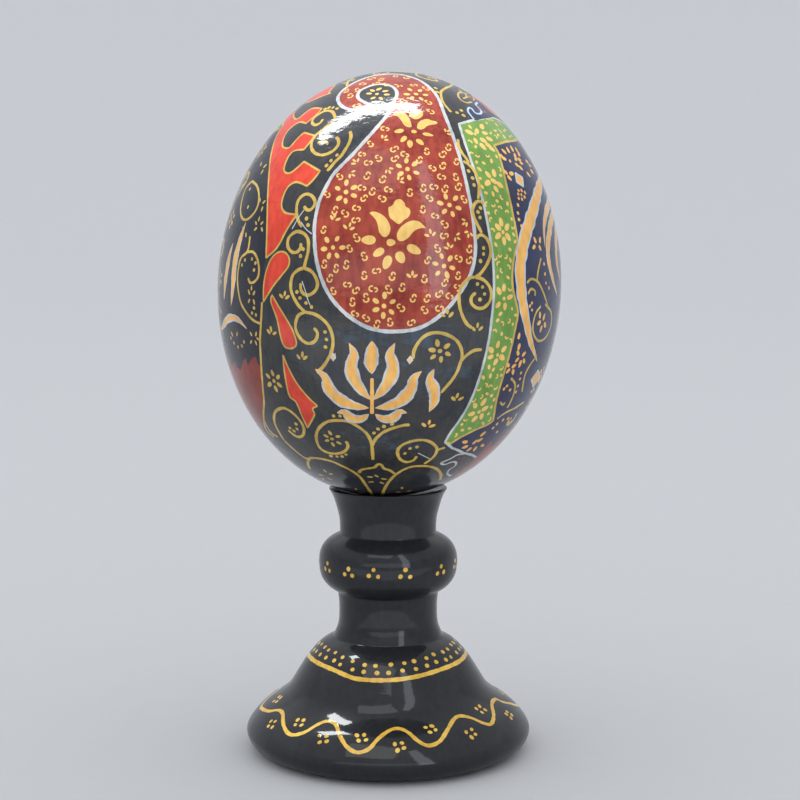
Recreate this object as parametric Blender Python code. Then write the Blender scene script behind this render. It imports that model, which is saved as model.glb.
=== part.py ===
"""Decorated ostrich egg standing in its turned wooden holder.

The egg is one solid. The holder is one turned piece: a round foot, a slim
neck with a rounded ring round it, and a flared top hollowed to seat the egg.
The frame is in metres, +Z up. Its origin is the middle of the holder's flat
underside, and the side that the photograph shows faces -Y.
"""

import math

import bmesh
import bpy
import numpy as np
from mathutils import Vector

MM = 0.001

# Egg: its greatest width, its length, how much slimmer its upper end is, and
# how far it leans to the right in its seat.
EGG_WIDTH = 125.0 * MM
EGG_LENGTH = 154.8 * MM
EGG_UPPER_SLIMNESS = 0.010
EGG_LEAN = math.radians(3.6)
EGG_CENTRE = Vector((0.6, 0.0, 172.4)) * MM

# Seat: the free space all round the egg where the holder carries it.
SEAT_GAP = 0.3 * MM

# Holder: the outline of each stretch in mm, as (radius, height), going down.
# A smooth curve runs through each stretch, and stretches meet at a crease.
# The flat top stands a little above the lip of the seat that is cut in it.
TOP_HEIGHT = 98.3
RIM_EDGE = ((20.6, TOP_HEIGHT), (21.7, 98.1), (22.1, 97.5))
FLARED_CUP = ((22.1, 97.5), (19.9, 95.0), (18.7, 90.5), (17.9, 86.5), (17.8, 81.3))
RING = ((17.8, 81.3), (22.5, 78.5), (25.0, 75.0), (25.7, 70.5), (24.9, 65.5), (22.5, 62.0), (18.7, 59.4))
NECK = ((18.7, 59.4), (18.2, 54.5), (18.5, 47.5), (20.3, 42.6))
FOOT_SLOPE = ((20.3, 42.6), (25.2, 39.8), (29.7, 35.0), (33.6, 29.0), (37.0, 23.6), (41.2, 19.8))
FOOT_LIP = ((46.2, 16.5), (50.6, 12.0), (52.8, 8.0), (51.7, 4.2), (48.6, 1.6), (44.0, 0.0))

# Facets: sides round each round piece, bands from the egg's top to its
# bottom, and straight steps between two points of the holder's outline.
SIDES_ROUND = 56
EGG_BANDS = 32
STEPS_PER_SPAN = 2
CREASE_ANGLE = math.radians(40.0)


def lacquer(name, colour, roughness):
    """Give a hard glossy paint, with its colour in linear light."""
    material = bpy.data.materials.new(name)
    material.use_nodes = True
    shader = material.node_tree.nodes["Principled BSDF"]
    shader.inputs["Base Color"].default_value = (*colour, 1.0)
    shader.inputs["Roughness"].default_value = roughness
    shader.inputs["Metallic"].default_value = 0.0
    return material


def add_object(name, bm, material=None):
    """Turn a bmesh into a scene object with its normals out and its creases kept."""
    bmesh.ops.recalc_face_normals(bm, faces=bm.faces)
    mesh = bpy.data.meshes.new(name)
    bm.to_mesh(mesh)
    bm.free()
    mesh.shade_smooth()
    mesh.set_sharp_from_angle(angle=CREASE_ANGLE)
    obj = bpy.data.objects.new(name, mesh)
    bpy.context.collection.objects.link(obj)
    if material is not None:
        mesh.materials.append(material)
    return obj


def egg_body(name, grow=0.0, material=None):
    """Shape a ball into the egg: longer than wide, and a little slimmer at its upper end."""
    half_width = EGG_WIDTH / 2 + grow
    half_length = EGG_LENGTH / 2 + grow
    bm = bmesh.new()
    bmesh.ops.create_uvsphere(bm, u_segments=SIDES_ROUND, v_segments=EGG_BANDS, radius=1.0)
    for vert in bm.verts:
        breadth = half_width * (1.0 - EGG_UPPER_SLIMNESS * vert.co.z)
        vert.co = Vector((vert.co.x * breadth, vert.co.y * breadth, vert.co.z * half_length))
    egg = add_object(name, bm, material)
    egg.location = EGG_CENTRE
    egg.rotation_euler = (0.0, EGG_LEAN, 0.0)
    return egg


def smooth_stretch(points):
    """Give the points of a smooth curve through a stretch, as a Catmull-Rom spline with free ends."""
    knots = np.array(points)
    before = 2 * knots[0] - knots[1]
    after = 2 * knots[-1] - knots[-2]
    knots = np.vstack((before, knots, after))
    curve = []
    for a, b, c, d in zip(knots, knots[1:], knots[2:], knots[3:]):
        for step in range(STEPS_PER_SPAN):
            t = step / STEPS_PER_SPAN
            bend = (2 * a - 5 * b + 4 * c - d) * t ** 2
            twist = (3 * b - a - 3 * c + d) * t ** 3
            curve.append((2 * b + (c - a) * t + bend + twist) / 2)
    curve.append(knots[-2])
    return curve


def holder_outline():
    """Join the stretches into one outline, from the axis at the top to the axis at the bottom."""
    outline = [(0.0, TOP_HEIGHT), RIM_EDGE[0]]
    for stretch in (RIM_EDGE, FLARED_CUP, RING, NECK, FOOT_SLOPE + FOOT_LIP):
        outline.extend(smooth_stretch(stretch)[1:])
    outline.append((0.0, 0.0))
    return outline


def turned_holder(name, material):
    """Spin the outline round the axis, as the wood turns on a lathe."""
    bm = bmesh.new()
    verts = [bm.verts.new((radius * MM, 0.0, height * MM)) for radius, height in holder_outline()]
    edges = [bm.edges.new(pair) for pair in zip(verts, verts[1:])]
    bmesh.ops.spin(
        bm,
        geom=verts + edges,
        cent=(0.0, 0.0, 0.0),
        axis=(0.0, 0.0, 1.0),
        angle=math.tau,
        steps=SIDES_ROUND,
        use_merge=True,
    )
    bmesh.ops.remove_doubles(bm, verts=bm.verts, dist=0.01 * MM)
    return add_object(name, bm, material)


def hollow_seat(holder):
    """Cut the egg's own form, a little larger, out of the top of the holder."""
    cutter = egg_body("seat_cutter", grow=SEAT_GAP)
    cutter.hide_render = True
    cutter.display_type = "WIRE"
    cut = holder.modifiers.new("seat", "BOOLEAN")
    cut.operation = "DIFFERENCE"
    cut.solver = "EXACT"
    cut.object = cutter


for old in list(bpy.data.objects):
    bpy.data.objects.remove(old, do_unlink=True)

painted_shell = lacquer("painted_shell", (0.060, 0.022, 0.020), 0.22)
black_lacquer = lacquer("black_lacquer", (0.014, 0.014, 0.017), 0.14)

egg_body("egg", material=painted_shell)
stand = turned_holder("stand", black_lacquer)
hollow_seat(stand)
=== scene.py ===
import math

import bpy
import numpy as np
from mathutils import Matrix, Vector
from mathutils.geometry import delaunay_2d_cdt, tessellate_polygon


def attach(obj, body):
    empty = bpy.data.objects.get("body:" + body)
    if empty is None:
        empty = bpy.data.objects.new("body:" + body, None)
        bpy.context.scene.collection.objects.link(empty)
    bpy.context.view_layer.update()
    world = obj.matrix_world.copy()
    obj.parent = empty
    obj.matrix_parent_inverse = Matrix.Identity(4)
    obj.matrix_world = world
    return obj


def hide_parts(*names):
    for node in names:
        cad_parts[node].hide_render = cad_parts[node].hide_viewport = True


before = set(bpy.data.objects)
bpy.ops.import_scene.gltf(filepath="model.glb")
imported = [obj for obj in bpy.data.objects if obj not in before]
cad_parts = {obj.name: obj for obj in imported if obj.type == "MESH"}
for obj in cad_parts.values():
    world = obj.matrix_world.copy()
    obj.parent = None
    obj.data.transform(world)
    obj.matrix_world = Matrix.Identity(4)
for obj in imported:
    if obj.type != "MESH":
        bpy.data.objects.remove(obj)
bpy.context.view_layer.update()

MM = 0.001

# Camera
# It stands level with the upper half of the egg and looks a little down, so
# that the lip of the foot shows as a wide ellipse. Places in the photograph
# are pixels of its 800 x 800 frame, x to the right and y down.
PHOTO_SIZE = 800
FOCAL_LENGTH_PX = 1915.5
SENSOR_WIDTH_MM = 36.0
CAMERA_PLACE = np.array((0.0, -700.0, 212.0))
CAMERA_PITCH = -0.1160
CAMERA_YAW = -0.0063

camera_data = bpy.data.cameras.new("camera")
camera_data.sensor_width = SENSOR_WIDTH_MM
camera_data.lens = FOCAL_LENGTH_PX * SENSOR_WIDTH_MM / PHOTO_SIZE
camera = bpy.data.objects.new("camera", camera_data)
bpy.context.collection.objects.link(camera)
camera.location = CAMERA_PLACE * MM
camera.rotation_euler = (math.pi / 2 + CAMERA_PITCH, 0.0, CAMERA_YAW)
bpy.context.scene.camera = camera
camera_turn = np.array(camera.rotation_euler.to_matrix())


# Holder
# One piece of hardwood turned on a lathe: a round foot with a rolled lip, a
# neck with a rounded ring, and a flared top hollowed to seat the egg. It is
# lacquered black, and gold is painted on with a fine brush before the varnish.


def smooth(points, closed=False, parts=6):
    """Give a smooth curve through the points.

    Each span between two points is a Catmull-Rom cubic cut into equal steps:
    half of 2b + (c - a)t + (2a - 5b + 4c - d)t^2 + (3b - a - 3c + d)t^3 for the
    four points a, b, c, d around it. A point given twice makes a corner.
    """
    knots = np.array(points, float)
    if closed:
        knots = np.concatenate((knots[-1:], knots, knots[:2]))
    else:
        knots = np.concatenate((2 * knots[:1] - knots[1:2], knots, 2 * knots[-1:] - knots[-2:-1]))
    a, b, c, d = (knots[k : len(knots) - 3 + k, None] for k in range(4))
    moves = (b != c).any(axis=(1, 2))
    a, b, c, d = a[moves], b[moves], c[moves], d[moves]
    t = (np.arange(parts) / parts)[None, :, None]
    spans = (2 * b + (c - a) * t + (2 * a - 5 * b + 4 * c - d) * t**2 + (3 * b - a - 3 * c + d) * t**3) / 2
    curve = spans.reshape(-1, knots.shape[1])
    curve = curve if closed else np.concatenate((curve, knots[-2:-1]))
    kept = np.abs(curve - np.roll(curve, 1, axis=0)).sum(axis=1) > 1e-9
    kept[0] = True
    return curve[kept]


def crosses_itself(ring):
    """Tell whether two sides of a closed outline cross.

    Two sides cross if the ends of each lie on both sides of the other.
    """
    start, end = ring[:, None], np.roll(ring, -1)[:, None]
    first, second = (((end - start).conj() * (tip.T - start)).imag for tip in (start, end))
    parted = first * second < 0
    return (parted & parted.T).any()


# Millimetres: the longest side of a mark, the shortest step along a stroke,
# and where a ray from the camera is sampled, from and to and how finely.
LONGEST_EDGE = 2.4
SHORTEST_STEP = 0.55
RAY_SAMPLES = (600.0, 760.0, 0.04)


class RoundPiece:
    """A piece that is round about an axis, with its skin spread on a plane for the brush.

    The plane keeps every angle: a point whose outline radius is r lies at
    exp(q) from the centre, where q grows by ds / r along the outline's length
    s, and at the same azimuth as on the piece. So one millimetre on the skin
    is exp(q) / r in the plane, every way. The centre is the piece's top.
    Places in the plane are complex numbers, and sizes are millimetres.
    """

    def __init__(self, outline, centre=(0.0, 0.0, 0.0), lean=0.0, repeats=1):
        self.radius, self.height = outline.T
        step = np.hypot(np.diff(self.radius), np.diff(self.height))
        middle = (self.radius[1:] + self.radius[:-1]) / 2
        self.length = np.concatenate(([0.0], np.cumsum(step)))
        self.q = np.concatenate(([0.0], np.cumsum(step / middle)))
        self.q -= np.interp(self.length[-1] / 2, self.length, self.q)
        side = slice(np.argmin(self.height), np.argmax(self.height) or None, -1)
        self.side_height, self.side_radius, self.side_q = self.height[side], self.radius[side], self.q[side]
        slope = np.gradient(outline, self.length, axis=0)
        self.normal = np.stack((-slope[:, 1], slope[:, 0]), axis=1)
        self.normal /= np.linalg.norm(self.normal, axis=1)[:, None]
        self.centre = np.array(centre)
        cosine, sine = math.cos(lean), math.sin(lean)
        self.turn = np.array(((cosine, 0, sine), (0, 1, 0), (-sine, 0, cosine)))
        self.repeats = repeats
        self.outlines = []
        self.paints = []

    def read(self, places, values):
        """Read a value of the outline at places in the plane."""
        return np.interp(np.log(np.abs(places)), self.q, values)

    def unit(self, places):
        """Give how much of the plane one millimetre of the skin takes there."""
        return np.abs(places) / self.read(places, self.radius)

    def solid(self, places):
        """Give the points and the outward normals of places in the plane, in the frame."""
        around = places / np.abs(places)
        radius = self.read(places, self.radius)
        height = self.read(places, self.height)
        points = np.stack((radius * around.real, radius * around.imag, height), axis=1)
        out, up = (self.read(places, values) for values in self.normal.T)
        normals = np.stack((out * around.real, out * around.imag, up), axis=1)
        return points @ self.turn.T + self.centre, normals @ self.turn.T

    def at(self, azimuth, height):
        """Give the place at an azimuth, 0 in front and 90 to the right, and a height in mm on the axis."""
        q = np.interp(height, self.side_height, self.side_q)
        return np.exp(q + 1j * np.radians(np.asarray(azimuth) - 90.0))

    def seen(self, pixels):
        """Give the places that the camera sees at pixels of the photograph.

        Each ray is sampled finely across the piece. The place is where the
        ray first comes nearer to the axis than the outline's radius at its
        height, or where it passes closest if it misses.
        """
        x, y = np.atleast_2d(np.array(pixels, float)).T
        half = PHOTO_SIZE / 2
        rays = np.stack((x - half, half - y, np.full(len(x), -FOCAL_LENGTH_PX)), axis=1) @ camera_turn.T
        rays /= np.linalg.norm(rays, axis=1)[:, None]
        reach = np.arange(*RAY_SAMPLES)
        path = CAMERA_PLACE + rays[:, None] * reach[None, :, None] - self.centre
        path = path @ self.turn
        outline_radius = np.interp(path[..., 2], self.side_height, self.side_radius)
        gap = np.hypot(path[..., 0], path[..., 1]) - outline_radius
        inside = gap < 0
        first = np.where(inside.any(axis=1), inside.argmax(axis=1), gap.argmin(axis=1))
        hit = path[np.arange(len(x)), first]
        q = np.interp(hit[:, 2], self.side_height, self.side_q)
        return np.exp(q + 1j * np.arctan2(hit[:, 1], hit[:, 0]))

    def beside(self, place, offsets):
        """Give places at offsets from one place: x + iy in mm, x to the right and y up."""
        return place + offsets * 1j * place / abs(place) * self.unit(np.array([place]))

    def fill(self, outline, paint):
        """Paint the inside of a closed outline over what is there.

        It is laid as often as marks repeat round the piece. An outline that
        crosses itself, as one can at the edge of the view, is cut into
        triangles first. Long edges are cut short, so that they follow the
        round of the skin.
        """
        parts = np.arange(len(outline))[None]
        if len(outline) > 12 and crosses_itself(outline):
            ring = [Vector((*pair, 0.0)) for pair in np.stack((outline.real, outline.imag), axis=1)]
            parts = np.array(tessellate_polygon([ring]))
        for part in outline[parts]:
            following = np.roll(part, -1)
            area = (part.real * following.imag - following.real * part.imag).sum()
            if abs(area) < 1e-9:
                continue
            edge_length = np.abs(following - part) / self.unit((part + following) / 2)
            cuts = np.ceil(edge_length / LONGEST_EDGE).astype(int)
            if cuts.max() > 1:
                sides = zip(part, following, cuts)
                part = np.concatenate([np.linspace(*side, endpoint=False) for side in sides])
            for repeat in range(self.repeats):
                turned = part * np.exp(2j * np.pi * repeat / self.repeats)
                self.outlines.append(turned if area > 0 else turned[::-1])
                self.paints.append(paint)

    def line(self, path, width, paint, tip="round"):
        """Draw the brush along a path: at each point, half the stroke's width lies to each side.

        A round tip narrows as a half circle does. A leaf swells as the sine
        of the way along it, and a drop swells from its first point to a round end.
        """
        run = np.concatenate(([0.0], np.cumsum(np.abs(np.diff(path)) / self.unit(path[:-1]))))
        half = width / 2
        count = max(int(run[-1] / max(0.3 * width, SHORTEST_STEP)), 5)
        ends = np.array((0.0, 0.12, 0.45)) * half
        spots = np.concatenate((ends, np.linspace(half, run[-1] - half, count), run[-1] - ends[::-1]))
        places = np.interp(spots, run, path.real) + 1j * np.interp(spots, run, path.imag)
        tangent = np.gradient(places)
        near = np.clip(np.minimum(spots, run[-1] - spots) / half, 0.0, 1.0)
        shape = np.sqrt(1.0 - (1.0 - near) ** 2)
        part = spots / run[-1]
        if tip == "leaf":
            shape = np.sin(np.pi * part) ** 0.75
        if tip == "drop":
            shape = np.minimum(shape, 0.12 + 0.88 * part**0.8)
        sway = 1.0 + 0.07 * np.sin(spots * 0.9 + run[-1]) + 0.05 * np.sin(spots * 2.3 + width)
        side = 1j * tangent / np.abs(tangent) * self.unit(places) * half * np.maximum(shape * sway, 0.02)
        left, right = places + side, places - side
        outer_half = np.stack((right[:-1], right[1:], left[1:]))
        inner_half = np.stack((right[:-1], left[1:], left[:-1]))
        for half_step in (outer_half, inner_half):
            for triangle in half_step.T:
                self.fill(triangle, paint)

    def dab(self, place, length, width, angle, paint, point=0.0):
        """Press the brush once: an ellipse turned by an angle, drawn to a point at its outer end."""
        turn = np.exp(1j * np.radians(angle))
        around = np.linspace(0.0, 2 * np.pi, 12 if length > 2.4 else 8, endpoint=False)
        press = 1.0 - point * (1.0 + np.cos(around)) / 2
        offsets = (length * np.cos(around) + 1j * width * np.sin(around) * press) / 2
        offsets *= brush.uniform(0.9, 1.1) * np.exp(1j * brush.normal(0.0, 0.09))
        self.fill(self.beside(place, offsets * turn), paint)


# Outline of each stretch in mm, as (radius, height), going down from the
# middle of the seat. Stretches meet at creases, which the lacquer rounds.
SEAT = ((0.0, 94.4), (6.0, 94.75), (12.0, 95.9), (17.6, 97.5))
SEAT_LIP = ((17.6, 97.5), (19.2, 97.95), (20.6, 98.1), (21.9, 98.0))
FLARED_CUP = ((21.9, 98.0), (20.3, 95.0), (18.9, 90.5), (18.0, 86.5), (17.8, 81.3))
RING = ((17.8, 81.3), (22.5, 78.5), (25.0, 75.0), (25.7, 70.5), (24.9, 65.5), (22.5, 62.0), (18.7, 59.4))
NECK = ((18.7, 59.4), (18.2, 54.5), (18.5, 47.5), (20.3, 42.6))
FOOT_SLOPE = ((20.3, 42.6), (25.2, 39.8), (29.7, 35.0), (33.6, 29.0), (37.0, 23.6), (41.2, 19.8))
FOOT_LIP = ((46.2, 16.5), (50.6, 12.0), (52.8, 8.0), (51.7, 4.2), (48.6, 1.6), (44.0, 0.0))
UNDERSIDE = ((44.0, 0.0), (0.6, 0.0))
LACQUER_ROUNDING = 0.25
OUTLINE_STEP = 0.1


def rounded_outline(stretches, rounding):
    """Join the stretches and round their creases.

    The outline is cut into equal short steps, and each point becomes the mean
    of its neighbours, weighted by a bell curve as wide as the rounding.
    """
    joined = np.concatenate([smooth(stretch, parts=24) for stretch in stretches])
    length = np.concatenate(([0.0], np.cumsum(np.hypot(*np.diff(joined, axis=0).T))))
    even = np.arange(0.0, length[-1], OUTLINE_STEP)
    outline = np.stack([np.interp(even, length, values) for values in joined.T], axis=1)
    reach = int(4 * rounding / OUTLINE_STEP)
    weights = np.exp(-((np.arange(-reach, reach + 1) * OUTLINE_STEP / rounding) ** 2) / 2)
    weights /= weights.sum()
    padded = np.concatenate((outline[:1].repeat(reach, 0), outline, outline[-1:].repeat(reach, 0)))
    padded[:reach, 0] -= np.arange(reach, 0, -1) * OUTLINE_STEP
    padded[-reach:, 0] -= np.arange(1, reach + 1) * OUTLINE_STEP
    outline = np.stack([np.convolve(values, weights, "valid") for values in padded.T], axis=1)
    return outline[outline[:, 0] > 0.5]


def ring_points(piece, lengths, spacing=None, sides=None):
    """Give points on rings round the piece, at lengths along its outline, evenly round each."""
    rings = []
    for row, length in enumerate(lengths):
        radius = np.interp(length, piece.length, piece.radius)
        size = np.exp(np.interp(length, piece.length, piece.q))
        count = sides or max(int(2 * np.pi * radius / spacing), 8)
        shift = 0.0 if sides else 0.5 * (row % 2)
        rings.append(size * np.exp(2j * np.pi * (np.arange(count) + shift) / count))
    return np.concatenate(rings)


RIM_TOLERANCE = 0.0001


def painted_skin(name, piece, ground_points, paints, last_ring):
    """Make the piece's skin as one closed mesh, cut along the edge of every brush mark.

    The ground's points and the outlines of the marks are joined into
    triangles in the plane. Each triangle takes the paint of the last mark laid
    over it, and every point gets the true normal of the turned surface. The
    rim of the plane is drawn together to a point underneath.
    """
    plane = [np.zeros(1, complex), ground_points, last_ring]
    count = sum(len(part) for part in plane)
    faces = []
    for outline in piece.outlines:
        faces.append(range(count, count + len(outline)))
        plane.append(outline)
        count += len(outline)
    places = np.concatenate(plane)
    flat = [Vector(pair) for pair in np.stack((places.real, places.imag), axis=1)]
    found = delaunay_2d_cdt(flat, [], faces, 0, 1e-7, True)
    places = np.array(found[0]) @ (1, 1j)
    triangles = np.array(found[2])
    kinds = list(paints)
    mark_slots = np.array([kinds.index(paint) for paint in piece.paints] + [0])
    slots = mark_slots[[max(marks, default=-1) for marks in found[5]]]
    top = np.argmin(np.abs(places))
    places[top] = np.exp(piece.q[0])
    points, normals = piece.solid(places)
    up = piece.turn @ (0.0, 0.0, 1.0)
    points[top] = piece.centre + up * piece.height[0]
    normals[top] = up
    rim = np.argsort(np.angle(places))
    rim = rim[np.abs(places[rim]) > np.abs(last_ring[0]) * (1.0 - RIM_TOLERANCE)]
    pole = len(points)
    points = np.concatenate((points, [piece.centre + up * piece.height[-1]]))
    normals = np.concatenate((normals, [-up]))
    fan = np.stack((np.roll(rim, -1), rim, np.full(len(rim), pole)), axis=1)
    triangles = np.concatenate((triangles, fan))
    slots = np.concatenate((slots, np.zeros(len(fan), int)))
    mesh = bpy.data.meshes.new(name)
    mesh.from_pydata(points * MM, [], triangles)
    for material in paints.values():
        mesh.materials.append(material)
    mesh.polygons.foreach_set("material_index", slots)
    mesh.shade_smooth()
    mesh.normals_split_custom_set_from_vertices(normals)
    skin = bpy.data.objects.new(name, mesh)
    bpy.context.collection.objects.link(skin)
    return skin


def link_noise(nodes, links, source, scale, detail, stretch=(1.0, 1.0, 1.0)):
    """Add cloudy noise in the piece's own metres, drawn out along one way for brush hairs."""
    mapping = nodes.new("ShaderNodeMapping")
    mapping.inputs["Scale"].default_value = stretch
    noise = nodes.new("ShaderNodeTexNoise")
    noise.inputs["Scale"].default_value = scale
    noise.inputs["Detail"].default_value = detail
    links.new(source, mapping.inputs["Vector"])
    links.new(mapping.outputs["Vector"], noise.inputs["Vector"])
    return noise.outputs["Fac"]


PITS_TO_WAVES = 0.24


def brushed_paint(name, thin, thick, gloss=(0.25, 0.45), hairs=(1.0, 1.0, 0.25), relief=0.13, varnish=0.75):
    """Make hand-laid paint under varnish, from its colour where thin and where thick.

    Broad clouds and fine brush hairs mix the two colours and vary the gloss.
    Two scales of relief ripple the varnish: slow waves of the hand, and the
    fine pitting of the ground below.
    """
    material = bpy.data.materials.new(name)
    material.use_nodes = True
    nodes, links = material.node_tree.nodes, material.node_tree.links
    shader = nodes["Principled BSDF"]
    where = nodes.new("ShaderNodeTexCoord").outputs["Object"]
    clouds = link_noise(nodes, links, where, 95.0, 4.0)
    streaks = link_noise(nodes, links, where, 620.0, 3.0, hairs)
    blend = nodes.new("ShaderNodeMix")
    blend.data_type = "FLOAT"
    blend.inputs["Factor"].default_value = 0.45
    links.new(clouds, blend.inputs["A"])
    links.new(streaks, blend.inputs["B"])
    spread = nodes.new("ShaderNodeMapRange")
    spread.inputs["From Min"].default_value = 0.36
    spread.inputs["From Max"].default_value = 0.64
    links.new(blend.outputs["Result"], spread.inputs["Value"])
    tint = nodes.new("ShaderNodeMix")
    tint.data_type = "RGBA"
    tint.inputs["A"].default_value = (*thin, 1.0)
    tint.inputs["B"].default_value = (*thick, 1.0)
    links.new(spread.outputs["Result"], tint.inputs["Factor"])
    links.new(tint.outputs["Result"], shader.inputs["Base Color"])
    shine = nodes.new("ShaderNodeMapRange")
    shine.inputs["To Min"].default_value, shine.inputs["To Max"].default_value = gloss
    links.new(streaks, shine.inputs["Value"])
    links.new(shine.outputs["Result"], shader.inputs["Roughness"])
    waves = link_noise(nodes, links, where, 300.0, 2.5, (0.7, 0.7, 1.5))
    pits = link_noise(nodes, links, where, 1100.0, 2.0)
    height = nodes.new("ShaderNodeMath")
    height.operation = "MULTIPLY_ADD"
    height.inputs[1].default_value = PITS_TO_WAVES
    links.new(pits, height.inputs[0])
    links.new(waves, height.inputs[2])
    bump = nodes.new("ShaderNodeBump")
    bump.inputs["Strength"].default_value = 1.0
    bump.inputs["Distance"].default_value = relief * MM
    links.new(height.outputs["Value"], bump.inputs["Height"])
    links.new(bump.outputs["Normal"], shader.inputs["Normal"])
    links.new(bump.outputs["Normal"], shader.inputs["Coat Normal"])
    shader.inputs["Coat Weight"].default_value = varnish
    shader.inputs["Coat Roughness"].default_value = 0.06
    shader.inputs["Specular IOR Level"].default_value = 0.05
    return material


brush = np.random.default_rng(20)

holder_outline = rounded_outline(
    (SEAT, SEAT_LIP, FLARED_CUP, RING, NECK, FOOT_SLOPE + FOOT_LIP, UNDERSIDE), LACQUER_ROUNDING
)
holder = RoundPiece(holder_outline)

holder_paints = {
    "black": brushed_paint(
        "black_lacquer", (0.0125, 0.0138, 0.0168), (0.0195, 0.0212, 0.0248), relief=0.025, varnish=0.55
    ),
    "gold": brushed_paint("gold_on_lacquer", (0.56, 0.31, 0.030), (0.86, 0.56, 0.095)),
}

# Three gold dots in a triangle, over and over round the ring.
RING_GROUPS = (
    -60.2, -34.3, -12.2, 13.6, 48.3, 73.5, 99.0, 124.0, 150.0, 176.0, 201.0, 226.0, 251.0, 275.0,
)  # fmt: skip
RING_DOTS_HEIGHT = 70.6
RING_DOTS = (0.2 + 1.5j, -1.7 - 0.8j, 1.8 - 0.9j)
RING_DOT_SIZE = (1.75, 1.6)
for azimuth in RING_GROUPS:
    spot = holder.at(azimuth, RING_DOTS_HEIGHT + brush.uniform(-0.4, 0.4))
    for offset in RING_DOTS:
        mark = holder.beside(spot, np.array([offset * brush.uniform(0.85, 1.15)]))[0]
        holder.dab(mark, *RING_DOT_SIZE, brush.uniform(0, 90), "gold")

# A gold line round the shoulder of the foot, as (azimuth, height), and two
# rows of dots above it.
SHOULDER_LINE = (
    (-98, 34.6), (-73, 35.3), (-45, 34.9), (-29, 33.7), (-21, 33.1), (-2, 33.1), (16, 33.7), (39, 34.9),
    (62, 35.5), (84, 35.8), (110, 35.2), (140, 34.4), (170, 34.9), (200, 35.4), (230, 34.6), (262, 34.6),
    (267, 34.7),
)  # fmt: skip
SHOULDER_LINE_WIDTH = 1.6
SHOULDER_DOTS = ((2.35, 38), (4.5, 36))
SHOULDER_DOT_SIZE = (1.8, 1.7)
azimuth, height = smooth(SHOULDER_LINE).T
holder.line(holder.at(azimuth, height), SHOULDER_LINE_WIDTH, "gold")
for rise, count in SHOULDER_DOTS:
    for turn in -90.0 + (np.arange(count) + rise / 4) * 360.0 / count:
        spot = holder.at(turn + brush.uniform(-1.4, 1.4), np.interp(turn, azimuth, height) + rise)
        mark = holder.beside(spot, np.array([brush.uniform(-0.3, 0.3) * 1j]))[0]
        holder.dab(mark, *SHOULDER_DOT_SIZE, 0.0, "gold")

# A waving gold line round the lip of the foot, with dots in every hollow.
WAVE = (
    (-86, 15.3), (-74, 16.7), (-66.8, 18.3), (-60, 17.9), (-52, 15.4), (-47.6, 14.3), (-43.8, 14.3),
    (-39, 15.8), (-35, 18.4), (-31, 19.5), (-25.8, 18.9), (-20.7, 15.8), (-17, 13.5), (-12.5, 12.2),
    (-8, 13.3), (-4.4, 16.2), (0, 18.2), (4.6, 18.8), (9, 17.8), (12.7, 15.4), (16.6, 13.9),
    (21.7, 14.6), (27.3, 17.2), (34.6, 19.7), (39.7, 20.1), (45, 18.9), (48.6, 17.1), (52.6, 16.2),
    (59, 17.6), (69, 20.1), (77.4, 20.1), (80.2, 18.5), (86, 16.7), (94, 14.2), (104, 13.6), (113, 17.5),
    (121, 19.6), (131, 18.6), (140, 14.4), (149, 13.3), (158, 16.8), (167, 19.4), (176, 18.4),
    (185, 14.6), (193, 13.4), (203, 17.0), (211, 19.6), (220, 18.9), (229, 15.0), (238, 13.6),
    (248, 16.6), (256, 19.2), (265, 17.2), (271, 15.4), (276, 15.4),
)  # fmt: skip
CLUSTERS = (
    (-46.3, 17.6), (-29, 14.8), (-12.2, 16.2), (4.4, 14.0), (19.8, 18.1), (38.2, 15.2), (55, 20.0),
    (70.7, 15.8), (-81, 19.4), (-62.3, 14.6), (99, 17.6), (121, 15.0), (145, 17.4), (167, 14.8),
    (190, 17.4), (211, 15.2), (234, 17.8), (256, 14.8),
)  # fmt: skip
CLUSTER = (-1.4 + 1.1j, 1.2 + 1.6j, -0.5 - 1.2j, 2.0 - 0.5j)
CLUSTER_DOT_SIZE = (1.9, 1.55)
WAVE_WIDTH = 1.45
azimuth, height = smooth(WAVE).T
holder.line(holder.at(azimuth, height), WAVE_WIDTH, "gold")
for turn, middle in CLUSTERS:
    spot = holder.at(turn, middle)
    for offset in CLUSTER:
        mark = holder.beside(spot, np.array([offset * brush.uniform(0.85, 1.2)]))[0]
        holder.dab(mark, *CLUSTER_DOT_SIZE, brush.uniform(0, 180), "gold")

# The skin's rows stand where the outline has turned by 0.12 radians, and never
# closer or wider than the two spacings in mm.
HOLDER_SIDES = 168
TURN_PER_ROW = 0.12
ROW_SPACINGS = (0.22, 1.60)
UNDERSIDE_ROW = 3.0
bends = np.abs(np.gradient(np.unwrap(np.arctan2(*holder.normal.T)), holder.length))
fineness = np.cumsum(1.0 / np.clip(TURN_PER_ROW / (bends + 1e-3), *ROW_SPACINGS)) * OUTLINE_STEP
rows = np.interp(np.arange(1.0, fineness[-1] - 1.0), fineness, holder.length)
last_row = holder.length[-1] - UNDERSIDE_ROW
last_ring = ring_points(holder, [last_row], sides=HOLDER_SIDES)
ground = ring_points(holder, rows[rows < last_row - 1.0], sides=HOLDER_SIDES)
stand_skin = painted_skin("lacquered_stand", holder, ground, holder_paints, last_ring)
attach(stand_skin, "root")
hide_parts("stand")


# Egg
# A blown ostrich eggshell. It has a dark ground, and the ornament is painted
# over it with flat and pointed brushes, then varnished. It leans a little to
# the right in its seat.
EGG_HALF_WIDTH = 62.5
EGG_HALF_LENGTH = 77.4
EGG_UPPER_SLIMNESS = 0.010
EGG_LEAN = math.radians(3.6)
EGG_CENTRE = (0.6, 0.0, 172.4)

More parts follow.
